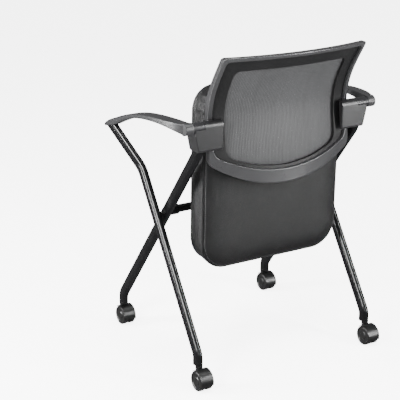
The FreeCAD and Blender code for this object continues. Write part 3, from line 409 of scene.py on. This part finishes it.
def draw_in(piece, depth):
    """Moves the cover inwards, or out again, all but the part that lies on the pan."""
    normals = [v.normal.copy() for v in piece.data.vertices]
    for v, normal in zip(piece.data.vertices, normals):
        if v.co.y > PAN_TOP_Y + 0.006:
            v.co = v.co - normal * depth


def stuff_cushion(piece, room):
    """Blows the cover up against its seams, by no more than the room it has."""
    group = piece.vertex_groups.new(name="held")
    for v in piece.data.vertices:
        base = v.co.y < PAN_TOP_Y + 0.004
        seam = abs(v.co.y - SEAM_Y) < 0.004 and seat_inset(v.co.x, v.co.z) < 0.006
        if base or seam:
            group.add([v.index], 1.0, "REPLACE")
    start = [v.co.copy() for v in piece.data.vertices]
    cloth = piece.modifiers.new("stuffing", "CLOTH")
    settings = cloth.settings
    settings.quality = 4
    settings.use_pressure = True
    settings.uniform_pressure_force = 4.0
    settings.effector_weights.gravity = 0.0
    settings.vertex_group_mass = "held"
    settings.tension_stiffness = 12.0
    settings.compression_stiffness = 12.0
    settings.bending_stiffness = 2.0
    cloth.collision_settings.use_collision = False
    scene = bpy.context.scene
    for number in range(1, CLOTH_FRAMES + 1):
        scene.frame_set(number)
    apply_modifiers(piece)
    scene.frame_set(1)
    for v, before in zip(piece.data.vertices, start):
        step = v.co - before
        if step.length > room:
            v.co = before + step.normalized() * room


def crown_over(piece):
    """Gives the sitting face one smooth dome, without creases from its sections."""
    for v in piece.data.vertices:
        inset = seat_inset(v.co.x, v.co.z)
        if v.co.y < SEAM_Y + 0.001 or inset <= 0.0:
            continue
        share = min(1.0, inset / CROWN_REACH)
        dome = SEAM_Y + CROWN_HEIGHT * (1.0 - (1.0 - share) ** CROWN_POWER)
        weight = min(1.0, inset / CROWN_EDGE)
        v.co.y += (dome - v.co.y) * weight


def corner_side(x, z):
    """How far round the front corner a point is, as an angle; None away from it."""
    across = abs(x) - (SEAT_HALF_WIDTH - FRONT_CORNER)
    up = z - (SEAT_HIGH_Z - FRONT_CORNER)
    if across < -0.03 or up < -0.03:
        return None
    return math.atan2(up, across)


def ridge(reach, height, middle, width):
    """Height of a rounded ridge that follows the seam, at a distance from the seam."""
    return height * math.exp(-((reach - middle) / width) ** 2)


def sew_cushion(piece):
    """Draws the seam, its two stitch lines and the gathered corners into the cover."""
    mesh = piece.data
    normals = [v.normal.copy() for v in mesh.vertices]
    for v, normal in zip(mesh.vertices, normals):
        x, y, z = v.co
        inset = max(0.0, seat_inset(x, z))
        reach = math.hypot(inset, y - SEAM_Y)
        push = ridge(reach, *SWELL) - ridge(reach, *GROOVE) - ridge(reach, *QUILT)
        angle = corner_side(x, z)
        if angle is not None and y > 0.09:
            gather = math.sin(max(0.0, min(1.0, (angle + 0.25) / 2.07)) * math.pi)
            push += ridge(reach, *GATHER) * gather * math.sin(angle * GATHER_WAVES)
        v.co = v.co + normal * push
        inside = pan_inset(v.co.x, v.co.z)
        if inside > -0.0006 and v.co.y < PAN_TOP_Y:
            v.co.y = PAN_TOP_Y
        v.co.y = max(v.co.y, LOWEST_COVER_Y)
    mesh.update()


def seat_cushion():
    """The upholstered seat: a stuffed cover over the pan, sewn round its edge."""
    piece = merged_copy("seat_cushion", "cushion_cover")
    skin = piece.modifiers.new("skin", "REMESH")
    skin.mode = "VOXEL"
    skin.voxel_size = VOXEL
    apply_modifiers(piece)
    draw_in(piece, DRAWN_IN)
    stuff_cushion(piece, STUFFING_ROOM)
    relax = piece.modifiers.new("relax", "SMOOTH")
    relax.factor = 0.5
    relax.iterations = 3
    finer = piece.modifiers.new("finer", "SUBSURF")
    finer.levels = 1
    finer.render_levels = 1
    apply_modifiers(piece)
    crown_over(piece)
    sew_cushion(piece)
    piece.data.materials.clear()
    piece.data.materials.append(FINISHES["leather"].material)
    piece.data.shade_smooth()
    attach(piece, "seat")
    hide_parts("seat_cushion")
    return piece


def outline_walk(inset, pitch):
    """Even steps round the seat's outline, drawn in by an inset: point and direction."""
    half = SEAT_HALF_WIDTH - inset
    low, high = SEAT_LOW_Z + inset, SEAT_HIGH_Z - inset
    corners = [
        (half, low, REAR_CORNER - inset, -90), (half, high, FRONT_CORNER - inset, 0),
        (-half, high, FRONT_CORNER - inset, 90), (-half, low, REAR_CORNER - inset, 180),
    ]
    points = []
    for x, z, radius, start in corners:
        centre = Vector((x - math.copysign(radius, x), 0,
                         z + radius if z < 0.5 else z - radius))
        for step in range(19):
            angle = math.radians(start + step * 5)
            points.append(centre + Vector((math.cos(angle), 0, math.sin(angle))) * radius)
    points.append(points[0])
    steps = []
    travelled = 0.0
    for a, b in zip(points, points[1:]):
        span = (b - a).length
        while travelled <= span:
            steps.append((a.lerp(b, travelled / span), (b - a).normalized()))
            travelled += pitch
        travelled -= span
    return steps


def stitching(cushion):
    """Two rows of thread, one on each side of the edge seam, laid on the cover."""
    tree = BVHTree.FromPolygons([v.co for v in cushion.data.vertices],
                                [p.vertices for p in cushion.data.polygons])
    shape = bmesh.new()
    for inset, y in STITCH_ROWS:
        for point, heading in outline_walk(inset, STITCH_PITCH):
            spot, normal = tree.find_nearest(Vector((point.x, y, point.z)))[:2]
            side = normal.cross(heading).normalized()
            ahead = side.cross(normal).normalized()
            turn = Matrix((ahead, side, normal)).transposed().to_4x4()
            size = Matrix.Diagonal(STITCH_SIZE + (1.0,))
            placed = Matrix.Translation(spot + normal * STITCH_LIFT) @ turn @ size
            bmesh.ops.create_icosphere(shape, subdivisions=1, radius=1.0, matrix=placed)
    piece = piece_from("seat_stitching", shape, "leather", thread_finish())
    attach(piece, "seat")


def shield_planes(half_width, top, corner_z, valley_z, top_radius, corner_radius,
                  valley_radius):
    """Points and outward directions all round a flat-topped, bow-bottomed outline."""
    corners = [
        (half_width, top, top_radius), (-half_width, top, top_radius),
        (-half_width, corner_z, corner_radius), (0.0, valley_z, valley_radius),
        (half_width, corner_z, corner_radius),
    ]
    planes = []
    count = len(corners)
    for i, (x, z, radius) in enumerate(corners):
        here = Vector((x, 0, z))
        before = Vector((corners[i - 1][0], 0, corners[i - 1][1]))
        after = Vector((corners[(i + 1) % count][0], 0, corners[(i + 1) % count][1]))
        a, b = (before - here).normalized(), (after - here).normalized()
        half = a.angle(b) / 2
        centre = here + (a + b).normalized() * (radius / math.sin(half))
        first = here + a * (radius / math.tan(half)) - centre
        last = here + b * (radius / math.tan(half)) - centre
        steps = 24 if radius > 0.1 else 8
        for step in range(steps + 1):
            out = first.slerp(last, step / steps).normalized()
            planes.append((centre + out * radius, out))
    return planes


def back_mesh():
    """The stretched mesh sheet, laid over the front of its carrier."""
    sheet_node = frame["nodes"]["back_mesh"]
    tree = BVHTree.FromPolygons([v.co for v in sheet_node.data.vertices],
                                [p.vertices for p in sheet_node.data.polygons])
    shape = bmesh.new()
    turn = Matrix.Translation((0, 0, SHEET_MIDDLE_Z)) @ Matrix.Rotation(math.pi / 2, 4, "X")
    bmesh.ops.create_grid(shape, x_segments=SHEET_GRID[0], y_segments=SHEET_GRID[1], size=0.5,
                          matrix=turn @ Matrix.Diagonal(SHEET_CUT + (1, 1)))
    for point, out in shield_planes(*SHEET_OUTLINE):
        geometry = shape.verts[:] + shape.edges[:] + shape.faces[:]
        bmesh.ops.bisect_plane(shape, geom=geometry, plane_co=point, plane_no=out,
                               clear_outer=True)
    for v in shape.verts:
        hit = tree.ray_cast(Vector((v.co.x, -0.5, v.co.z)), Vector((0, 1, 0)))[0]
        if hit is None:
            near = tree.find_nearest(Vector((v.co.x, 0.18, v.co.z)))[0]
            hit = Vector((v.co.x, near.y, v.co.z))
        v.co.y = hit.y + SHEET_LIFT
    bmesh.ops.recalc_face_normals(shape, faces=shape.faces)
    area = sum(f.calc_area() for f in shape.faces)
    piece = piece_from("mesh_sheet", shape, "mesh")
    body = piece.modifiers.new("thickness", "SOLIDIFY")
    body.thickness = MESH_THICKNESS
    body.offset = 0.0
    apply_modifiers(piece)
    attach(piece, "frame")
    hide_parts("back_mesh")


# Studio

def floor():
    """Plain pale floor, lifted by a faint glow of its own so that it stays near white."""
    shape = bmesh.new()
    bmesh.ops.create_grid(shape, x_segments=1, y_segments=1, size=30.0)
    paint = Finish("floor_paint", (0.8, 0.8, 0.8), 0.95, Specular_IOR_Level=0.1)
    paint.give("Emission Color", (1.0, 1.0, 1.0, 1.0))
    paint.give("Emission Strength", FLOOR_GLOW)
    piece = piece_from("studio_floor", shape, "rubber", paint, False)
    piece.visible_glossy = False


def softbox(name, where, target, width, height, power):
    light = bpy.data.lights.new(name, "AREA")
    light.shape = "RECTANGLE"
    light.size = width
    light.size_y = height
    light.energy = power
    lamp = bpy.data.objects.new(name, light)
    bpy.context.scene.collection.objects.link(lamp)
    lamp.location = where
    direction = Vector(target) - Vector(where)
    lamp.rotation_euler = direction.to_track_quat("-Z", "Y").to_euler()


def studio():
    floor()
    world = bpy.data.worlds.new("studio")
    bpy.context.scene.world = world
    world.use_nodes = True
    sky = world.node_tree.nodes["Background"]
    sky.inputs["Color"].default_value = (1.0, 1.0, 1.0, 1.0)
    sky.inputs["Strength"].default_value = SKY
    softbox("key", (2.9, 1.5, 1.9), (0, 0.1, 0.6), 0.7, 1.2, 230)
    softbox("left_strip", (2.2, -0.9, 1.0), (0, 0.1, 0.5), 0.22, 2.2, 190)
    softbox("right_strip", (-1.5, 2.2, 1.2), (0, 0.1, 0.5), 0.1, 2.0, 130)
    softbox("rear", (1.5, 3.0, 1.0), (0, 0.1, 0.6), 0.9, 0.7, 22)
    softbox("top", (0.0, 0.6, 3.2), (0, 0.1, 0.6), 1.4, 0.8, 160)


def camera():
    """Rear view from the sitter's left, a little above the chair's top."""
    azimuth, elevation, roll = (math.radians(a) for a in (AZIMUTH, ELEVATION, ROLL))
    back = Vector((math.sin(azimuth) * math.cos(elevation),
                   -math.cos(azimuth) * math.cos(elevation), math.sin(elevation)))
    right = Vector((math.cos(azimuth), math.sin(azimuth), 0.0))
    up = back.cross(right)
    turn = Matrix((right, up, back)).transposed() @ Matrix.Rotation(-roll, 3, "Z")
    lens = bpy.data.cameras.new("camera")
    lens.sensor_width = SENSOR
    lens.lens = FOCAL_PIXELS / PHOTO_PIXELS * SENSOR
    lens.shift_x = SHIFT_PIXELS[0] / PHOTO_PIXELS
    lens.shift_y = SHIFT_PIXELS[1] / PHOTO_PIXELS
    lens.clip_end = 100.0
    view = bpy.data.objects.new("camera", lens)
    bpy.context.scene.collection.objects.link(view)
    eye = Vector(TARGET) * CAMERA_SCALE + back * (DISTANCE * CAMERA_SCALE)
    view.matrix_world = Matrix.Translation(eye) @ turn.to_4x4()
    bpy.context.scene.camera = view


camera()
dress_cad_nodes()
cushion = seat_cushion()
stitching(cushion)
back_mesh()
studio()
